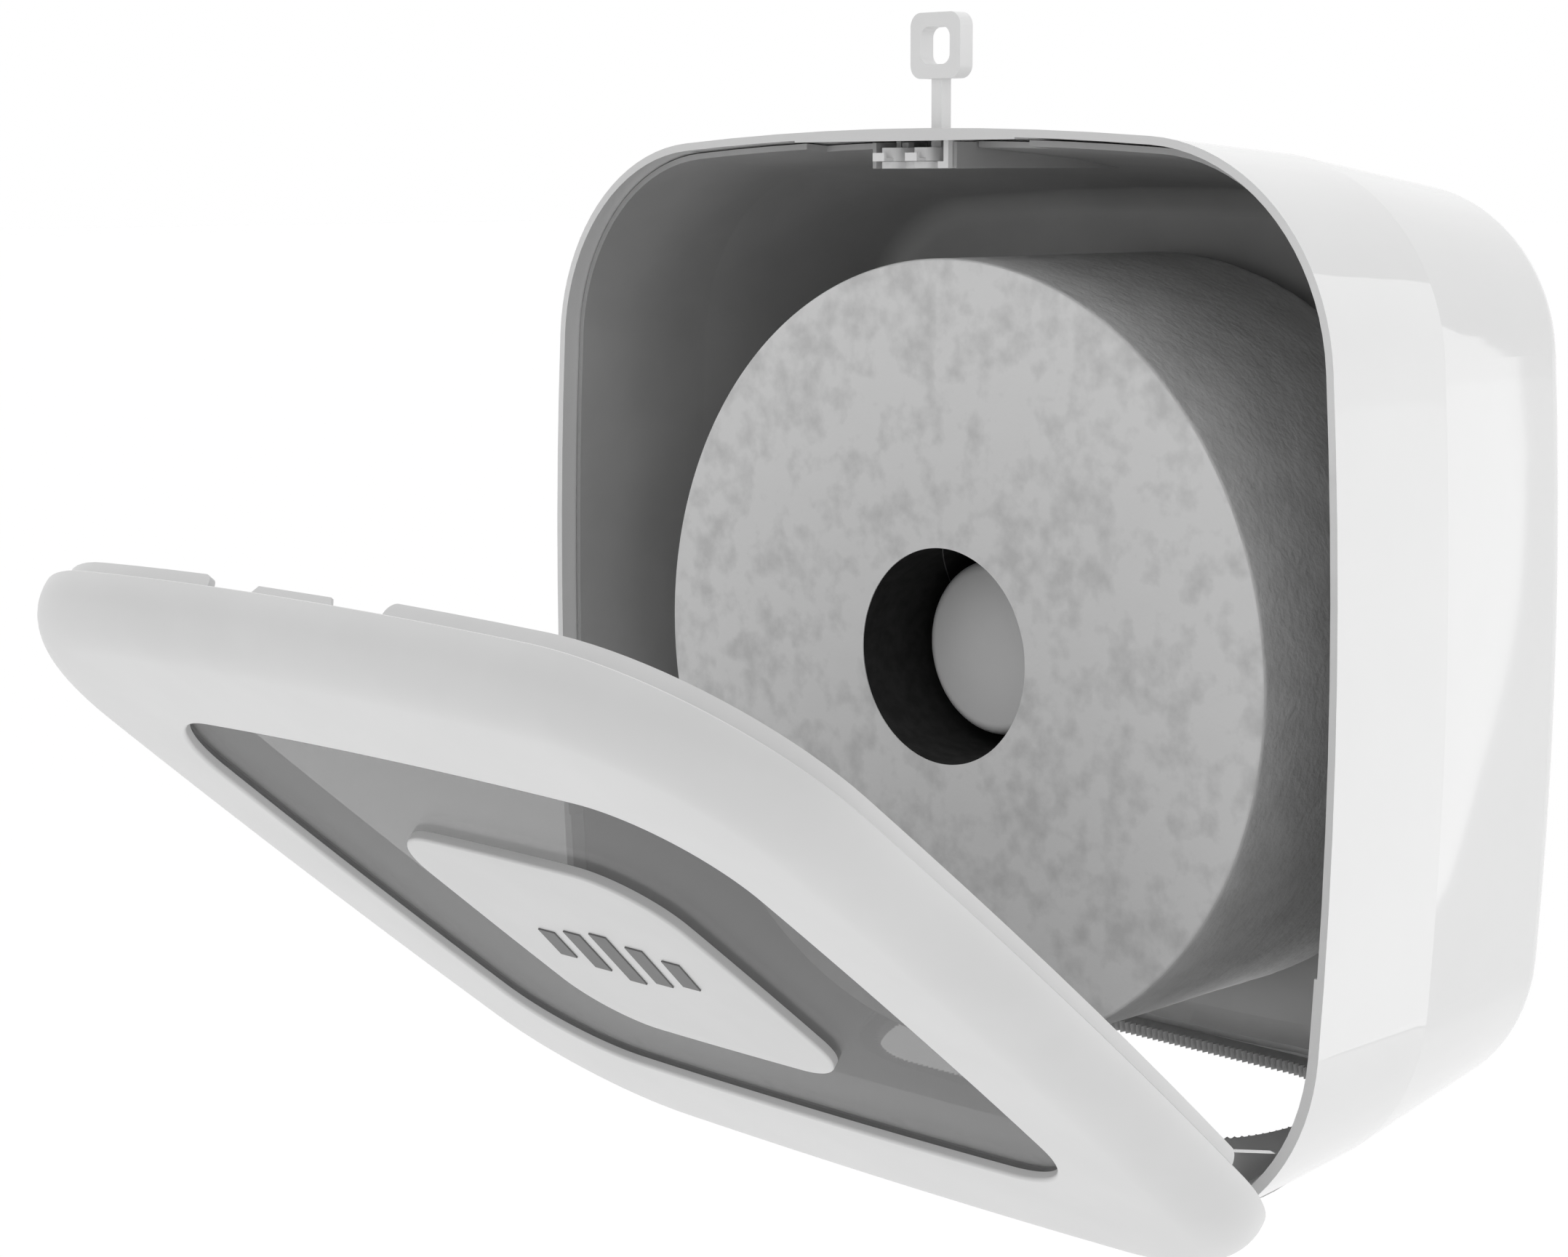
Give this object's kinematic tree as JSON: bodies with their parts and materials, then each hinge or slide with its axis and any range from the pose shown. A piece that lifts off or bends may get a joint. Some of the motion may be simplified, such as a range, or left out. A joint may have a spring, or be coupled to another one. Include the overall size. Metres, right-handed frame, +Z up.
{
  "type": "jumbo roll tissue dispenser",
  "caption": "Wall dispenser for a jumbo tissue roll: drafted housing, hinged cover with smoky window, keyed latch, roll on a hub and a saw-edged outlet.",
  "frame": {"origin": "middle of the flat back that lies on the wall", "axes": "+Z up, +Y into the wall, -Y towards the user, +X to the user's right"},
  "size_m": [0.27, 0.3166, 0.3053],
  "materials": {
    "white_shell": "satin white moulding",
    "grey_liner": "fine matt grain",
    "white_cover": "satin white moulding",
    "smoke_window": "smoke tinted translucent sheet",
    "badge_white": "satin",
    "badge_print": "matt",
    "hub_grey": "satin grey",
    "dark_plastic": "matt",
    "tissue": "soft creped tissue",
    "core_board": "matt board",
    "lock_white": "satin",
    "spring_steel": "drawn wire",
    "screw_steel": "zinc plated"
  },
  "bodies": {
    "housing": {"housing": "white_shell", "inner_liner": "grey_liner", "outlet_ring": "grey_liner", "hub_base": "hub_grey", "hub_sleeve": "dark_plastic", "hub_nose": "hub_grey", "hub_screws": "screw_steel", "hinge_pin_left": "screw_steel", "hinge_pin_right": "screw_steel", "lock_bracket": "lock_white", "latch_springs": "spring_steel"},
    "cover": {"cover_frame": "white_cover", "window_pane": "smoke_window", "badge_plate": "badge_white", "badge_mark": "badge_print", "pane_retainer": "white_cover", "hinge_arm_left": "white_cover", "hinge_arm_right": "white_cover", "hinge_arm_screws": "screw_steel"},
    "roll": {"paper_roll": "tissue", "roll_core": "core_board"},
    "latch": {"latch_tongues": "lock_white"},
    "key": {"key": "lock_white"}
  },
  "joints": [
    {"name": "cover_hinge", "type": "hinge", "parent": "housing", "child": "cover", "pos_m": [0, -0.1117, -0.1185], "axis": [-1, 0, 0], "range_deg": [0, 50.57]},
    {"name": "roll_spin", "type": "hinge", "parent": "housing", "child": "roll", "pos_m": [0, -0.0591, -0.001], "axis": [0, 1, 0], "continuous": true},
    {"name": "latch_slide", "type": "slide", "parent": "housing", "child": "latch", "axis": [0, 0, 1], "range_m": [0, 0.0012], "stiffness_N_per_m": 150, "springref_m": 0.004, "deforming": ["latch_springs"]},
    {"name": "key_slide", "type": "slide", "parent": "latch", "child": "key", "axis": [0, 0, 1], "range_m": [0, 0.045]}
  ]
}
